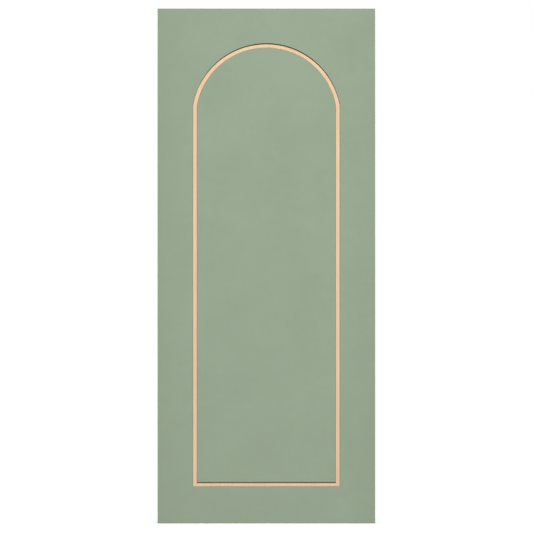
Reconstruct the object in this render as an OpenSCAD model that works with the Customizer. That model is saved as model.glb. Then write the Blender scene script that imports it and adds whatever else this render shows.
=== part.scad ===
// Flush door leaf with an arched groove routed into its front face.
// The origin is the centre of the foot. X runs across the leaf, the front faces -Y and Z is up.

/* [Leaf] */
// Width of the finished leaf
leaf_w = 838; // [600:1:1100]
// Height of the finished leaf
leaf_h = 1981; // [1400:1:2400]
// Thickness of the finished leaf
leaf_t = 44; // [36:1:60]
// Thickness of each plywood skin
skin_t = 9; // [6:0.5:12]
// Radius eased onto the outer edges of both faces
arris_r = 1.2; // [0.4:0.1:3]

/* [Arched groove] */
// Face left between each side of the leaf and the groove
groove_side = 136; // [60:1:200]
// Face left between the foot of the leaf and the groove
groove_foot = 142; // [60:1:400]
// Face left between the head of the leaf and the crown of the groove
groove_head = 134; // [60:1:400]
// Width of the groove under its lips
groove_w = 16; // [6:1:40]
// Depth of the groove, down to the third ply of the skin
groove_d = 3.6; // [2:0.1:5]
// Depth of the arc's centre below the points where it springs from the legs
arch_drop = 48; // [10:1:200]
// Chamfer that eases both lips of the groove
lip_chamfer = 0.8; // [0.3:0.1:1.5]
// Lean of the groove's walls, in degrees off square, which narrows the groove towards its floor
wall_lean = 20; // [0:1:30]

/* [Frame] */
// Width of each softwood stile
stile_w = 38; // [25:1:90]
// Width of the softwood top rail
top_rail_w = 38; // [25:1:90]
// Width of the softwood bottom rail
bottom_rail_w = 60; // [25:1:120]
// Length of the stub tenons at the rail ends
tenon_l = 14; // [6:1:20]
// Thickness of the stub tenons
tenon_t = 9; // [5:0.5:12]
// Shoulder above and below each stub tenon
tenon_shoulder = 7; // [3:1:9]
// Clearance on the cheeks and edges of a tenon
tenon_clearance = 0.1; // [0.05:0.05:0.3]
// Clearance beyond the end of a tenon
tenon_end_clearance = 1; // [0.5:0.5:3]

/* [Core and lippings] */
// Clearance all round the edges of the core
core_clearance = 0.3; // [0.1:0.1:1]
// Thickness of the hardwood lipping on each edge of the leaf
lipping_t = 8; // [4:1:15]

/* [Hidden] */
$fn = 180;

// What lies between the two skins
frame_t = leaf_t - 2 * skin_t;

// Outer edges of the frame, inside the lippings
frame_side = leaf_w / 2 - lipping_t;
frame_foot = lipping_t;
frame_head = leaf_h - lipping_t;

// Inner edges of the frame, around the core
core_side = frame_side - stile_w;
core_foot = frame_foot + bottom_rail_w;
core_head = frame_head - top_rail_w;

// The groove's outer edge: two upright legs under an arc of slightly less than half a circle
arch_half = leaf_w / 2 - groove_side;
arch_radius = sqrt(arch_half * arch_half + arch_drop * arch_drop);
arch_centre = leaf_h - groove_head - arch_radius;

// How far a cutter runs past what it cuts
overcut = 5;

paint_green = [0.60, 0.66, 0.58];
softwood = [0.87, 0.74, 0.53];
hardwood = [0.73, 0.52, 0.34];
chipboard = [0.74, 0.62, 0.44];

// Runs a section up the length of a skin that lies face up
module run_up(length) {
    translate([0, length, 0])
        rotate([90, 0, 0])
            linear_extrude(length)
                children();
}

// Runs a section across the width of a skin that lies face up
module run_across() {
    translate([-leaf_w / 2, 0, 0])
        rotate([90, 0, 90])
            linear_extrude(leaf_w)
                children();
}

// Section of a plain skin from low to high, with the two edges of its face rounded
module skin_section(low, high) {
    translate([low, 0])
        square([high - low, skin_t - arris_r]);
    translate([low + arris_r, 0])
        square([high - low - 2 * arris_r, skin_t]);
    for (corner = [low + arris_r, high - arris_r])
        translate([corner, skin_t - arris_r])
            circle(r = arris_r);
}

// Plain skin lying face up, with its foot at y = 0
module skin_blank() {
    intersection() {
        run_up(leaf_h)
            skin_section(-leaf_w / 2, leaf_w / 2);
        run_across()
            skin_section(0, leaf_h);
    }
}

// Section through one edge line of the groove and its opposite, which are low and high under the lips.
// A side of 1 gives a pocket that narrows inwards, and -1 a panel that widens inwards.
// It runs beyond the groove's floor and past the face.
module wall_section(low, high, side, beyond) {
    floor = skin_t - groove_d - beyond;
    lip = skin_t - lip_chamfer;
    top = skin_t + overcut + beyond;
    flare = side * lip_chamfer;
    taper = side * (lip - floor) * tan(wall_lean);
    polygon([
        [low + taper, floor], [high - taper, floor], [high, lip], [high + flare, skin_t],
        [high + flare, top], [low - flare, top], [low - flare, skin_t], [low, lip]
    ]);
}

// Round head about the arc's centre, open below it
module arch_head(radius, side, beyond) {
    translate([0, arch_centre, 0])
        rotate_extrude()
            intersection() {
                wall_section(-radius, radius, side, beyond);
                translate([0, -leaf_t])
                    square([leaf_w, 2 * leaf_t]);
            }
    translate([-leaf_w, 0, -leaf_t])
        cube([2 * leaf_w, arch_centre, 2 * leaf_t]);
}

// Everything inside an arch that lies inset from the groove's outer edge
module arch(inset, side, beyond) {
    half = arch_half - inset;
    intersection() {
        run_up(leaf_h)
            wall_section(-half, half, side, beyond);
        run_across()
            wall_section(groove_foot + inset, 2 * leaf_h, side, beyond);
        arch_head(arch_radius - inset, side, beyond);
    }
}

// What the router takes out, less the panel that it leaves standing inside
module groove() {
    difference() {
        arch(0, 1, 0);
        arch(groove_w, -1, overcut);
    }
}

// Stands a skin that lies face up against the front of the frame
module on_front() {
    translate([0, -frame_t / 2, 0])
        rotate([90, 0, 0])
            children();
}

// Plywood skin with the groove in its face
module front_skin() {
    color(paint_green)
        on_front()
            difference() {
                skin_blank();
                groove();
            }
}

// Plain plywood skin
module back_skin() {
    color(paint_green)
        mirror([0, 1, 0])
            on_front()
                skin_blank();
}

// Block centred in the leaf's thickness between two corners, each given as [x, z]
module block(low, high, thickness) {
    translate([low[0], -thickness / 2, low[1]])
        cube([high[0] - low[0], thickness, high[1] - low[1]]);
}

// Solid particleboard
module core() {
    side = core_side - core_clearance;
    color(chipboard)
        block([-side, core_foot + core_clearance], [side, core_head - core_clearance], frame_t);
}

// Stub tenon across the leaf for a rail from foot to head, or with clearances the mortise for it
module tenon(foot, head, clearance, end_clearance) {
    reach = core_side + tenon_l + end_clearance;
    low = foot + tenon_shoulder - clearance;
    high = head - tenon_shoulder + clearance;
    block([-reach, low], [reach, high], tenon_t + 2 * clearance);
}

// Left-hand stile, mortised for both rails
module stile() {
    color(softwood)
        difference() {
            block([-frame_side, frame_foot], [-core_side, frame_head], frame_t);
            tenon(frame_foot, core_foot, tenon_clearance, tenon_end_clearance);
            tenon(core_head, frame_head, tenon_clearance, tenon_end_clearance);
        }
}

module hinge_stile() {
    stile();
}

module lock_stile() {
    mirror([1, 0, 0])
        stile();
}

// Rail between the stiles, with a stub tenon at each end
module rail(foot, head) {
    color(softwood) {
        block([-core_side, foot], [core_side, head], frame_t);
        tenon(foot, head, 0, 0);
    }
}

module top_rail() {
    rail(core_head, frame_head);
}

module bottom_rail() {
    rail(frame_foot, core_foot);
}

// Left-hand lipping, which runs the full height of the leaf
module side_lipping() {
    color(hardwood)
        block([-leaf_w / 2, 0], [-frame_side, leaf_h], frame_t);
}

module hinge_lipping() {
    side_lipping();
}

module lock_lipping() {
    mirror([1, 0, 0])
        side_lipping();
}

// Lippings that fit between the side ones
module top_lipping() {
    color(hardwood)
        block([-frame_side, frame_head], [frame_side, leaf_h], frame_t);
}

module bottom_lipping() {
    color(hardwood)
        block([-frame_side, 0], [frame_side, frame_foot], frame_t);
}

front_skin();
back_skin();
core();
hinge_stile();
lock_stile();
top_rail();
bottom_rail();
hinge_lipping();
lock_lipping();
top_lipping();
bottom_lipping();
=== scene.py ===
import math

import bmesh
import bpy
from mathutils import Matrix, Vector


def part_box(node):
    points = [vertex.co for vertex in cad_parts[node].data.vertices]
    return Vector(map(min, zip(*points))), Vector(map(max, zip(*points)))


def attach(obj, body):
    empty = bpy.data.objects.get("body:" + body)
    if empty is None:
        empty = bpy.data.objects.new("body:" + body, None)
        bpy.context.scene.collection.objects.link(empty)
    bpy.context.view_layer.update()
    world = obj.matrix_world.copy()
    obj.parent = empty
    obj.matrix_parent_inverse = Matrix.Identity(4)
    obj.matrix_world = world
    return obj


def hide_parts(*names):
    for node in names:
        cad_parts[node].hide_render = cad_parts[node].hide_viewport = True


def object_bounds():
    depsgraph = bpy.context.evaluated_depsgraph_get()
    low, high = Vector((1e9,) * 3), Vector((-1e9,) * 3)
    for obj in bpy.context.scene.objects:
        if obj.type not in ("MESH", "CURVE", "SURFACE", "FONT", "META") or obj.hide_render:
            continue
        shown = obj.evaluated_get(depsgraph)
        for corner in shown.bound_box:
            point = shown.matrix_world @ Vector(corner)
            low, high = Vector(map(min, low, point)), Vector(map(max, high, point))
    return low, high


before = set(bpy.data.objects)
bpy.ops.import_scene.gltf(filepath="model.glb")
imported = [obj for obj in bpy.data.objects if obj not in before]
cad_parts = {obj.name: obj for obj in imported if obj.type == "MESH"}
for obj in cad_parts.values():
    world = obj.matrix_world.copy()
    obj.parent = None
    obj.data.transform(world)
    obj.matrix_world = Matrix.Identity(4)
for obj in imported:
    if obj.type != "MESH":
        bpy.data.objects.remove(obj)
cadLow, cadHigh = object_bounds()

halfWidth = cadHigh.x
leafHeight = cadHigh.z
frontY = cadLow.y
backY = cadHigh.y
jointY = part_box("back_skin")[0].y  # the skins meet the lippings this far from the leaf's middle
skinThickness = backY - jointY
print("frame loaded, leaf", round(2 * halfWidth, 3), "by", round(leafHeight, 3))

camera = {
    "lens": 135,
    "sensor": 36,
    "view": 2.0512,  # metres across the view at the leaf's face
    "sideways": 0.0004,
    "height": 0.9881,
}


def makeCamera():
    data = bpy.data.cameras.new("camera")
    data.lens = camera["lens"]
    data.sensor_width = camera["sensor"]
    made = bpy.data.objects.new("camera", data)
    distance = camera["view"] * camera["lens"] / camera["sensor"]
    made.location = (camera["sideways"], frontY - distance, camera["height"])
    made.rotation_euler = (math.radians(90), 0, 0)
    bpy.context.collection.objects.link(made)
    bpy.context.scene.camera = made


makeCamera()
bpy.context.scene.view_settings.view_transform = "Standard"
print("camera placed")


# A colour as it looks on screen, 0 to 255, as the linear values that shaders take
def screenColour(red, green, blue):
    shares = [value / 255 for value in (red, green, blue)]
    return tuple(s / 12.92 if s <= 0.04045 else ((s + 0.055) / 1.055) ** 2.4 for s in shares) + (1,)


# One value in a material, so that shader maths can be written as plain expressions
class Value:
    def __init__(self, finish, socket):
        self.finish = finish
        self.socket = socket

    def maths(self, operation, *numbers):
        return self.finish.node("Math", {"operation": operation}, dict(enumerate(numbers)))

    def __add__(self, other):
        return self.maths("ADD", self, other)

    def __radd__(self, other):
        return self.maths("ADD", other, self)

    def __sub__(self, other):
        return self.maths("SUBTRACT", self, other)

    def __rsub__(self, other):
        return self.maths("SUBTRACT", other, self)

    def __mul__(self, other):
        return self.maths("MULTIPLY", self, other)

    def __rmul__(self, other):
        return self.maths("MULTIPLY", other, self)

    def __truediv__(self, other):
        return self.maths("DIVIDE", self, other)

    def __rtruediv__(self, other):
        return self.maths("DIVIDE", other, self)

    def __gt__(self, other):
        return self.maths("GREATER_THAN", self, other)

    def __lt__(self, other):
        return self.maths("LESS_THAN", self, other)

    def __abs__(self):
        return self.maths("ABSOLUTE", self)

    def fraction(self):
        return self.maths("FRACT", self)

    def most(self, *others):
        result = self
        for other in others:
            result = self.maths("MAXIMUM", result, other)
        return result


# A material being built: node() adds any node, and the others are the few that come up often
class Finish:
    def __init__(self, name):
        self.material = bpy.data.materials.new(name)
        self.material.use_nodes = True
        self.tree = self.material.node_tree
        self.tree.nodes.clear()
        self.place = self.node("TexCoord", output="Object")
        self.x, self.y, self.z = [self.node("SeparateXYZ", {}, {0: self.place}, axis) for axis in "XYZ"]

    def node(self, kind, settings=None, inputs=None, output=0):
        made = self.tree.nodes.new("ShaderNode" + kind)
        for name, value in (settings or {}).items():
            if name == "stops":
                self.setStops(made.color_ramp, value)
            else:
                setattr(made, name, value)
        for name, value in (inputs or {}).items():
            if isinstance(value, Value):
                self.tree.links.new(value.socket, made.inputs[name])
            else:
                made.inputs[name].default_value = value
        return Value(self, made.outputs[output]) if made.outputs else made

    def setStops(self, ramp, stops):
        while len(ramp.elements) < len(stops):
            ramp.elements.new(0.5)
        for element, (position, colour) in zip(ramp.elements, stops):
            element.position = position
            element.color = colour

    def stretched(self, scale):
        return self.node("Mapping", {}, {"Vector": self.place, "Scale": scale})

    def noise(self, size, vector=None, detail=2, roughness=0.5, distortion=0):
        values = {"Vector": vector or self.place, "Scale": 1 / size, "Detail": detail}
        values |= {"Roughness": roughness, "Distortion": distortion}
        return self.node("TexNoise", {}, values)

    def ramp(self, value, *stops):
        return self.node("ValToRGB", {"stops": stops}, {"Fac": value})

    def fade(self, value, low, high):
        return self.node("MapRange", {}, {"Value": value, "From Min": low, "From Max": high})

    def blend(self, factor, first, second):
        return self.node("Mix", {"data_type": "RGBA"}, {0: factor, 6: first, 7: second}, 2)

    def bump(self, height, distance, below=None):
        values = {"Height": height, "Distance": distance, "Strength": 1}
        if below:
            values["Normal"] = below
        return self.node("Bump", {}, values)

    def shader(self, specular, colour, roughness, normal):
        values = {"Base Color": colour, "Roughness": roughness, "Normal": normal}
        return self.node("BsdfPrincipled", {}, values | {"Specular IOR Level": specular})

    def finished(self, shader):
        self.node("OutputMaterial", {}, {"Surface": shader})
        return self.material


paint = {
    "light": screenColour(157, 173, 149),
    "dark": screenColour(154, 169, 146),
    # painted shade: the colour the paint darkens to at the leaf's sides, where the light falls off
    "edge": screenColour(148, 163, 139),
    # painted shade: the dark line down the groove's lips
    "lipShade": screenColour(74, 72, 50),
    "joint": screenColour(118, 130, 110),
    "roughness": 0.38,
    "specular": 0.5,
    "reach": 0.0009,  # paint wraps this far round the groove's lips
    "cloudSize": 0.2,
    "cloudRoughness": 0.06,
    "patchSize": 0.03,
    "patchShare": 0.35,  # of the mottling, and the clouds have the rest
    "mottleRange": (0.36, 0.64),
    "sideShadeReach": 0.12,  # painted shade: the colour deepens this far in from the leaf's sides, where the light falls off
    "sideShadeShow": 0.35,
    "jointWidth": 0.0005,
    "jointShow": 0.5,
    "plyLineWidth": 0.16,  # as a share of one ply
    "plyLineDepth": 0.25,  # as a share of a joint's depth
    "jointDepth": 0.00012,
    "lipShadeStart": 0.0001,
    "lipShadeShow": 0.8,
    "lipShadeMargin": 0.01,  # the leaf's own edges, this far in, get no painted lip shade
    "stippleSize": 0.0011,
    "stippleDepth": 0.00003,
    "stippleRoughness": 0.08,
    "rollSize": 0.007,
    "rollDepth": 0.00003,
}
plyCount = 7
plyStep = skinThickness / plyCount


# Where a surface lies near the leaf's outer faces, which are the ones that were painted
def outsideMask(finish, reach):
    atFaces = abs(finish.y) > backY - reach
    atSides = abs(finish.x) > halfWidth - reach
    return atFaces.most(atSides, finish.z < reach, finish.z > leafHeight - reach)


# Eggshell paint from a short-pile roller, with painted shade towards the leaf's sides and down the groove's
# lips. Joints and plies just show through it on the leaf's edges.
def paintShader(finish):
    cloud = finish.noise(paint["cloudSize"], detail=3)
    patch = finish.noise(paint["patchSize"])
    mottle = cloud * (1 - paint["patchShare"]) + patch * paint["patchShare"]
    shade = finish.fade(mottle, *paint["mottleRange"])
    colour = finish.blend(shade, paint["dark"], paint["light"])
    # painted shade: darker towards the leaf's sides, where the light falls off
    sideShade = finish.fade(abs(finish.x), halfWidth - paint["sideShadeReach"], halfWidth)
    colour = finish.blend(sideShade * paint["sideShadeShow"], colour, paint["edge"])

    fromJoint = abs(abs(finish.y) - jointY)
    joint = 1 - finish.fade(fromJoint, 0, paint["jointWidth"])
    colour = finish.blend(joint * paint["jointShow"], colour, paint["joint"])
    ply = (abs(finish.y) - jointY) / plyStep
    plyLine = 1 - finish.fade(0.5 - abs(ply.fraction() - 0.5), 0, paint["plyLineWidth"])
    plyLine = plyLine * (abs(finish.y) < backY - skin["arris"]) * (abs(finish.y) > jointY)

    # painted shade: a thin dark line down the groove's lips, darkening with depth into the groove
    margin = paint["lipShadeMargin"]
    intoGroove = (finish.y - frontY) * (abs(finish.x) < halfWidth - margin) * (finish.y < 0)
    intoGroove = intoGroove * (finish.z > margin) * (finish.z < leafHeight - margin)
    lipShade = finish.fade(intoGroove, paint["lipShadeStart"], paint["reach"])
    colour = finish.blend(lipShade * paint["lipShadeShow"], colour, paint["lipShade"])

    stipple = finish.noise(paint["stippleSize"])
    roll = finish.noise(paint["rollSize"], detail=1)
    normal = finish.bump(roll, paint["rollDepth"])
    normal = finish.bump(stipple, paint["stippleDepth"], normal)
    normal = finish.bump(0 - joint - plyLine * paint["plyLineDepth"], paint["jointDepth"], normal)
    roughness = paint["roughness"] + (stipple - 0.5) * paint["stippleRoughness"]
    roughness = roughness + (cloud - 0.5) * paint["cloudRoughness"]
    return finish.shader(paint["specular"], colour, roughness, normal)


groove = {
    "side": 0.136,  # from the leaf's edge to the groove, and like the rest taken just under the lips
    "foot": 0.142,
    "head": 0.134,
    "width": 0.016,
    "depth": 0.0036,
    "wallLean": 20,  # degrees off square, so the groove narrows towards its floor
    "archDrop": 0.048,  # the arc's centre is this far below the height where it springs
    "circleSteps": 320,
    "lipDepth": 0.0008,
    "lipRadius": 0.0006,
    "panelCorner": 0.0018,
    "cornerSteps": 4,
}
leanPerDepth = math.tan(math.radians(groove["wallLean"]))
flare = groove["lipDepth"] * leanPerDepth  # how much wider the leaning walls stand up at the face

birch = {
    "pale": screenColour(248, 214, 177),
    "mid": screenColour(245, 209, 171),
    "dark": screenColour(236, 196, 156),
    "fleck": screenColour(214, 168, 124),
    "glue": screenColour(78, 48, 30),
    # cut ply colours, darker than the wood's own as painted shade on the groove's walls
    "shadedCutPly": screenColour(134, 92, 60),
    "shadedCutCrossPly": screenColour(112, 74, 46),
    "roughness": 0.6,
    "roughnessSwing": 0.15,
    "specular": 0.3,
    "grainScale": (1, 1, 0.022),  # the grain is drawn out up Z
    "bandSize": 0.012,
    "bandShare": 0.4,  # of the tone, which the streaks and patches share with it
    "streakSize": 0.0016,
    "streakShare": 0.35,
    "streakDepth": 0.00006,
    "patchSize": 0.25,
    "patchShare": 0.25,
    "tones": (0.34, 0.5, 0.66),  # where the dark, mid and pale shades lie
    "fleckScale": (1, 1, 0.08),
    "fleckSize": 0.0007,
    "fleckRange": (0.63, 0.72),
    "fleckShow": 0.3,
    "fleckDepth": 0.00005,
    "glueWidth": 0.09,  # as a share of one ply
    "glueShow": 0.7,
    "wallShow": 0.9,
    "wallMargin": 0.00003,  # the walls' colour stops this far above the floor
}


# Bare birch ply where the cutter has been: upright grain on the groove's floor, plies on its walls,
# darkened there with painted shade
def birchShader(finish):
    upright = finish.stretched(birch["grainScale"])
    band = finish.noise(birch["bandSize"], upright, detail=3, distortion=0.4)
    streak = finish.noise(birch["streakSize"], upright, detail=3, roughness=0.6)
    patch = finish.noise(birch["patchSize"])
    tone = band * birch["bandShare"] + streak * birch["streakShare"] + patch * birch["patchShare"]
    colour = finish.ramp(tone, *zip(birch["tones"], (birch["dark"], birch["mid"], birch["pale"])))
    fleck = finish.noise(birch["fleckSize"], finish.stretched(birch["fleckScale"]), detail=1)
    fleck = finish.fade(fleck, *birch["fleckRange"])
    colour = finish.blend(fleck * birch["fleckShow"], colour, birch["fleck"])

    # the plies are stacked along Y, and every second one is darker; the walls' ply colours are also
    # darkened as painted shade in the groove
    ply = (0 - finish.y - jointY) / plyStep
    glueLine = 1 - finish.fade(0.5 - abs(ply.fraction() - 0.5), 0, birch["glueWidth"])
    crossPly = (ply * 0.5).fraction() > 0.5
    shadedCut = finish.blend(crossPly, birch["shadedCutPly"], birch["shadedCutCrossPly"])
    shadedCut = finish.blend(glueLine * birch["glueShow"], shadedCut, birch["glue"])
    onWall = finish.y < frontY + groove["depth"] - birch["wallMargin"]
    colour = finish.blend(onWall * birch["wallShow"], colour, shadedCut)

    normal = finish.bump(streak, birch["streakDepth"])
    normal = finish.bump(fleck, -birch["fleckDepth"], normal)
    roughness = birch["roughness"] + (streak - 0.5) * birch["roughnessSwing"]
    return finish.shader(birch["specular"], colour, roughness, normal)


softwood = {
    "early": screenColour(234, 205, 158),
    "late": screenColour(198, 148, 92),
    "pore": screenColour(120, 72, 40),
    "ringSize": 0.0042,
    "roughness": 0.62,
}
grain = {
    "wanderSize": 0.05,
    "wanderStretch": 0.05,
    "wander": 5,  # rings
    "lateFrom": 0.55,  # as shares of one ring
    "lateTo": 0.97,
    "lateShow": 0.75,
    "lateDepth": 0.6,  # as a share of a streak's
    "lateRoughness": 0.08,
    "streakSize": 0.0012,
    "streakStretch": 0.02,
    "streakRange": (0.3, 0.55),
    "streakShow": 0.3,
    "streakDepth": 0.00008,
    "streakRoughness": 0.2,
    "specular": 0.35,
}


# Planed wood whose grain runs up Z, or along X if it is level
def grainShader(finish, wood, level):
    def drawnOut(stretch):
        return finish.stretched((stretch, 1, 1) if level else (1, 1, stretch))

    across = finish.z if level else finish.x
    wander = finish.noise(grain["wanderSize"], drawnOut(grain["wanderStretch"]))
    rings = (across / wood["ringSize"] + wander * grain["wander"]).fraction()
    late = finish.fade(rings, grain["lateFrom"], grain["lateTo"])
    late = late * (1 - finish.fade(rings, grain["lateTo"], 1))
    streak = drawnOut(grain["streakStretch"])
    streak = finish.noise(grain["streakSize"], streak, detail=3, roughness=0.6)
    pore = 1 - finish.fade(streak, *grain["streakRange"])
    colour = finish.blend(late * grain["lateShow"], wood["early"], wood["late"])
    colour = finish.blend(pore * grain["streakShow"], colour, wood["pore"])
    normal = finish.bump(streak + late * grain["lateDepth"], grain["streakDepth"])
    roughness = wood["roughness"] + (streak - 0.5) * grain["streakRoughness"]
    roughness = roughness - late * grain["lateRoughness"]
    return finish.shader(grain["specular"], colour, roughness, normal)


def makePaintedSkin():
    finish = Finish("sagePaintOnBirch")
    painted = outsideMask(finish, paint["reach"])
    shader = finish.node("MixShader", {}, {0: painted, 1: birchShader(finish), 2: paintShader(finish)})
    return finish.finished(shader)


lippingWood = {
    "early": screenColour(214, 178, 138),
    "late": screenColour(186, 143, 102),
    "pore": screenColour(138, 98, 66),
    "ringSize": 0.0021,
    "roughness": 0.55,
}


def makePaintedLipping(name, level):
    finish = Finish(name)
    painted = outsideMask(finish, paint["reach"])
    bare = grainShader(finish, lippingWood, level)
    return finish.finished(finish.node("MixShader", {}, {0: painted, 1: bare, 2: paintShader(finish)}))


def makeSoftwood(name, level):
    finish = Finish(name)
    return finish.finished(grainShader(finish, softwood, level))


chipCore = {
    "pale": screenColour(216, 184, 138),
    "mid": screenColour(192, 153, 106),
    "dark": screenColour(134, 98, 62),
    "chipSize": 0.0036,
    "chipScale": (1, 2.2, 0.45),  # chips lie flat and are drawn out up Z
    "chipShare": 0.6,  # of the tone, and the streaks have the rest
    "chipRoughness": 0.1,
    "raggedness": 0.004,  # how far the edges of the chips wander
    "raggedScale": 350,
    "streakSize": 0.0006,
    "streakScale": (1, 1, 0.2),
    "tones": (0.2, 0.45, 0.7),  # where the dark, mid and pale shades lie
    "gapWidth": 0.05,  # as a share of one chip
    "gapShow": 0.4,
    "gapDepth": 0.0003,
    "chipHeight": 0.6,  # as a share of a gap's depth
    "roughness": 0.8,
    "specular": 0.2,
}


# Pressed chips: ragged flakes, each of its own shade and streaked, with dark gaps between them
def makeChipCore():
    finish = Finish("pressedChips")
    wandering = {"Vector": finish.place, "Scale": chipCore["raggedScale"], "Detail": 3}
    ragged = finish.node("TexNoise", {}, wandering, "Color")
    ragged = finish.node("VectorMath", {"operation": "SCALE"}, {0: ragged, "Scale": chipCore["raggedness"]})
    flat = {0: finish.stretched(chipCore["chipScale"]), 1: ragged}
    flat = finish.node("VectorMath", {"operation": "ADD"}, flat)
    chips = {"Vector": flat, "Scale": 1 / chipCore["chipSize"]}
    shade = finish.node("SeparateXYZ", {}, {0: finish.node("TexVoronoi", {}, chips, "Color")})
    gap = finish.node("TexVoronoi", {"feature": "DISTANCE_TO_EDGE"}, chips)
    streak = finish.noise(chipCore["streakSize"], finish.stretched(chipCore["streakScale"]))
    tone = shade * chipCore["chipShare"] + streak * (1 - chipCore["chipShare"])
    shades = (chipCore["dark"], chipCore["mid"], chipCore["pale"])
    colour = finish.ramp(tone, *zip(chipCore["tones"], shades))
    inGap = 1 - finish.fade(gap, 0, chipCore["gapWidth"])
    colour = finish.blend(inGap * chipCore["gapShow"], colour, chipCore["dark"])
    normal = finish.bump(shade * chipCore["chipHeight"] - inGap, chipCore["gapDepth"])
    roughness = chipCore["roughness"] + (shade - 0.5) * chipCore["chipRoughness"]
    return finish.finished(finish.shader(chipCore["specular"], colour, roughness, normal))


skin = {
    "arris": 0.0012,
    "bevelSteps": 3,
    "easedAngle": 45,  # edges that turn by more degrees than this are eased
    "sharpAngle": 40,  # and those that turn by less are shaded smooth
}

paintedSkin = makePaintedSkin()
uprightLipping = makePaintedLipping("sagePaintOnUprightLipping", False)
levelLipping = makePaintedLipping("sagePaintOnLevelLipping", True)
uprightPine = makeSoftwood("pineUpright", False)
levelPine = makeSoftwood("pineLevel", True)
pressedChips = makeChipCore()
print("finishes mixed")

closeEnough = 0.00001  # metres between places that count as one


def isNear(first, second):
    return abs(first - second) < closeEnough


def edgesWhere(bm, test):
    return [edge for edge in bm.edges if all(test(v.co) for v in edge.verts)]


def vertsOf(geometry):
    return [item for item in geometry if isinstance(item, bmesh.types.BMVert)]


def easeEdges(bm, edges, radius, steps):
    bmesh.ops.bevel(bm, geom=edges, offset=radius, segments=steps, profile=0.5,
                    affect="EDGES", material=-1, clamp_overlap=True)


# The arch as one face: the top of a disc, with its chord drawn down to the foot
def drawArch(bm):
    half = halfWidth - groove["side"]
    radius = math.hypot(half, groove["archDrop"])
    centre = leafHeight - groove["head"] - radius
    springing = centre + math.sqrt((radius + flare) ** 2 - (half + flare) ** 2)
    upright = Matrix.Translation((0, frontY, centre)) @ Matrix.Rotation(math.radians(90), 4, "X")
    bmesh.ops.create_circle(bm, cap_ends=True, segments=groove["circleSteps"], radius=radius + flare,
                            matrix=upright)
    everything = bm.verts[:] + bm.edges[:] + bm.faces[:]
    bmesh.ops.bisect_plane(bm, geom=everything, plane_co=(0, 0, springing), plane_no=(0, 0, -1),
                           clear_outer=True)
    chord = edgesWhere(bm, lambda co: isNear(co.z, springing))
    drawn = bmesh.ops.extrude_edge_only(bm, edges=chord)["geom"]
    bmesh.ops.translate(bm, verts=vertsOf(drawn), vec=(0, 0, groove["foot"] - flare - springing))
    chord = [edge for edge in bm.edges if len(edge.link_faces) == 2]
    bmesh.ops.dissolve_edges(bm, edges=chord, use_verts=False)


# The leaf's outline, joined to the groove's outer edge by a flat sheet of triangles
def drawSurround(bm):
    outline = [edge for edge in bm.edges if edge.is_boundary]
    corners = [bm.verts.new((side * halfWidth, frontY, height))
               for side, height in ((-1, 0), (1, 0), (1, leafHeight), (-1, leafHeight))]
    rim = [bm.edges.new((corners[i - 1], corners[i])) for i in range(4)]
    bmesh.ops.triangle_fill(bm, use_beauty=True, edges=rim + outline, normal=(0, -1, 0))
    return rim


def onRim(edge):
    return all(isNear(abs(v.co.x), halfWidth) or isNear(v.co.z, 0) or isNear(v.co.z, leafHeight)
               for v in edge.verts)


def makeFrontSkin():
    bm = bmesh.new()
    drawArch(bm)
    ring = bmesh.ops.inset_region(bm, faces=bm.faces[:], thickness=groove["width"] + 2 * flare,
                                  use_even_offset=True, use_boundary=True)["faces"]
    rim = drawSurround(bm)

    # the groove goes in, and the rim goes back to the lippings and is closed
    bmesh.ops.inset_region(bm, faces=ring, thickness=groove["depth"] * leanPerDepth,
                           depth=-groove["depth"], use_even_offset=True)
    drawn = bmesh.ops.extrude_edge_only(bm, edges=rim)["geom"]
    bmesh.ops.translate(bm, verts=vertsOf(drawn), vec=(0, skinThickness, 0))
    bmesh.ops.contextual_create(bm, geom=[edge for edge in bm.edges if edge.is_boundary])
    bmesh.ops.recalc_face_normals(bm, faces=bm.faces[:])

    # the panel's two lower corners, then the lips of the groove, then the leaf's arrises
    panelFoot = groove["foot"] + groove["width"] + flare
    panelHalf = halfWidth - groove["side"] - groove["width"] - flare
    corners = edgesWhere(bm, lambda co: isNear(co.z, panelFoot) and isNear(abs(co.x), panelHalf))
    easeEdges(bm, corners, groove["panelCorner"], groove["cornerSteps"])
    sharp = [edge for edge in edgesWhere(bm, lambda co: isNear(co.y, frontY))
             if edge.calc_face_angle() > math.radians(skin["easedAngle"])]
    arrises = [edge for edge in sharp if onRim(edge)]
    easeEdges(bm, [edge for edge in sharp if edge not in arrises], groove["lipRadius"], skin["bevelSteps"])
    easeEdges(bm, [edge for edge in arrises if edge.is_valid], skin["arris"], skin["bevelSteps"])

    mesh = bpy.data.meshes.new("frontSkin")
    bm.to_mesh(mesh)
    bm.free()
    mesh.materials.append(paintedSkin)
    mesh.shade_smooth()
    mesh.set_sharp_from_angle(angle=math.radians(skin["sharpAngle"]))
    piece = bpy.data.objects.new("frontSkin", mesh)
    bpy.context.collection.objects.link(piece)
    flats = piece.modifiers.new("flats", "WEIGHTED_NORMAL")
    flats.keep_sharp = True
    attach(piece, "root")
    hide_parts("front_skin")


makeFrontSkin()
print("front skin made")

carriedOver = {
    "back_skin": paintedSkin,
    "hinge_lipping": uprightLipping,
    "lock_lipping": uprightLipping,
    "top_lipping": levelLipping,
    "bottom_lipping": levelLipping,
    "hinge_stile": uprightPine,
    "lock_stile": uprightPine,
    "top_rail": levelPine,
    "bottom_rail": levelPine,
    "core": pressedChips,
}
for name, material in carriedOver.items():
    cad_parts[name].data.materials.clear()
    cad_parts[name].data.materials.append(material)
print("frame, core, lippings and back skin finished")

floor = {
    "size": 30,
    "drop": 0.0003,  # just under the leaf's foot
    "colour": (0.86, 0.86, 0.86, 1),
    "speckle": (0.8, 0.8, 0.8, 1),
    "speckleSize": 0.004,
    "speckleShow": 0.02,
    "speckleDepth": 0.00001,
    "roughness": 0.9,
    "specular": 0.1,
}


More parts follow.
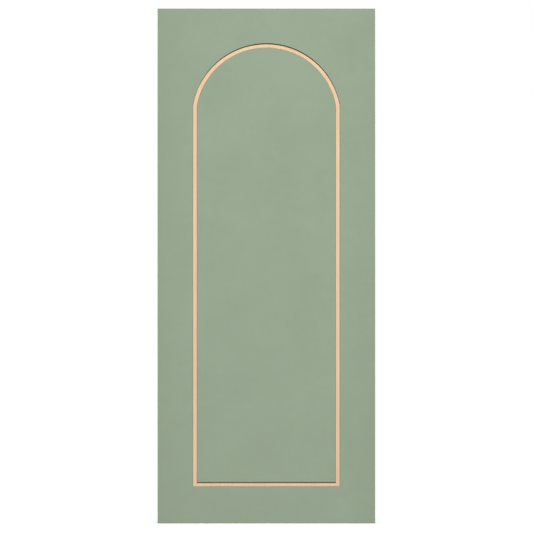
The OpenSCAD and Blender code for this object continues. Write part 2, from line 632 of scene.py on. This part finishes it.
def makeFloor():
    bm = bmesh.new()
    bmesh.ops.create_grid(bm, x_segments=1, y_segments=1, size=floor["size"] / 2,
                          matrix=Matrix.Translation((0, 0, -floor["drop"])))
    mesh = bpy.data.meshes.new("floor")
    bm.to_mesh(mesh)
    bm.free()
    finish = Finish("paleFloor")
    speckle = finish.noise(floor["speckleSize"])
    tone = finish.blend(speckle * floor["speckleShow"], floor["colour"], floor["speckle"])
    normal = finish.bump(speckle, floor["speckleDepth"])
    shader = finish.shader(floor["specular"], tone, floor["roughness"], normal)
    mesh.materials.append(finish.finished(shader))
    made = bpy.data.objects.new("floor", mesh)
    bpy.context.collection.objects.link(made)
    made.visible_diffuse = False  # so that it throws no light back onto the leaf
    return made


studioFloor = makeFloor()

studio = {
    "aim": (0.07, 0, 0.98),
    "keyDirection": (0.13, -1, 1.3),
    "keyDistance": 24,
    "keyRadius": 0.7,
    "keySpread": 12.2,  # degrees across the cone of light, which fades towards its rim
    "keyPower": 31300,
    "roomStrength": 0.1,
    "floorDirection": (0, -1, 1.6),
    "floorStrength": 2.1,
    "floorSpread": 0.07,  # radians, which blurs the shadow's edge
    "fillStrength": 1.75,  # straight down on the floor, to lighten that shadow
    "fillSpread": 0.12,
    "backPlace": (-5, 6, 4.5),
    "backPower": 720,
    "sidePlace": (6, 1.6, 3.6),
    "sidePower": 420,
    "panelSize": 3,
}


def makeLight(name, kind, place, aim, **settings):
    data = bpy.data.lights.new(name, kind)
    for setting, value in settings.items():
        setattr(data, setting, value)
    light = bpy.data.objects.new(name, data)
    light.location = place
    light.rotation_euler = (Vector(aim) - Vector(place)).to_track_quat("-Z", "Y").to_euler()
    bpy.context.collection.objects.link(light)
    return light


# Keeps a light on the floor alone, or off it
def linkToFloor(light, state):
    group = bpy.data.collections.new(light.name + "Receivers")
    group.objects.link(studioFloor)
    light.light_linking.receiver_collection = group
    group.collection_objects[0].light_linking.link_state = state


def makeLights():
    aim = Vector(studio["aim"])
    keyPlace = aim + Vector(studio["keyDirection"]).normalized() * studio["keyDistance"]
    key = makeLight("key", "SPOT", keyPlace, aim, energy=studio["keyPower"], spot_blend=1,
                    spot_size=math.radians(studio["keySpread"]), shadow_soft_size=studio["keyRadius"])
    back = makeLight("backLight", "AREA", studio["backPlace"], aim, shape="DISK", size=studio["panelSize"],
                     energy=studio["backPower"])
    side = makeLight("sideLight", "AREA", studio["sidePlace"], aim, shape="DISK", size=studio["panelSize"],
                     energy=studio["sidePower"])
    slanted = makeLight("floorLight", "SUN", studio["floorDirection"], (0, 0, 0),
                        energy=studio["floorStrength"], angle=studio["floorSpread"])
    above = makeLight("floorFill", "SUN", (0, 0, 1), (0, 0, 0),
                      energy=studio["fillStrength"], angle=studio["fillSpread"])
    for light in (key, back, side):
        linkToFloor(light, "EXCLUDE")
    for light in (slanted, above):
        linkToFloor(light, "INCLUDE")


# A white room to the camera, and a dim even fill to the leaf
def makeWorld():
    world = bpy.data.worlds.new("studio")
    bpy.context.scene.world = world
    world.use_nodes = True
    nodes = world.node_tree.nodes
    links = world.node_tree.links
    path = nodes.new("ShaderNodeLightPath")
    strength = nodes.new("ShaderNodeMapRange")
    strength.inputs["To Min"].default_value = studio["roomStrength"]
    strength.inputs["To Max"].default_value = 1
    links.new(path.outputs["Is Camera Ray"], strength.inputs["Value"])
    links.new(strength.outputs["Result"], nodes["Background"].inputs["Strength"])
    nodes["Background"].inputs["Color"].default_value = (1, 1, 1, 1)


makeLights()
makeWorld()
print("studio lit")
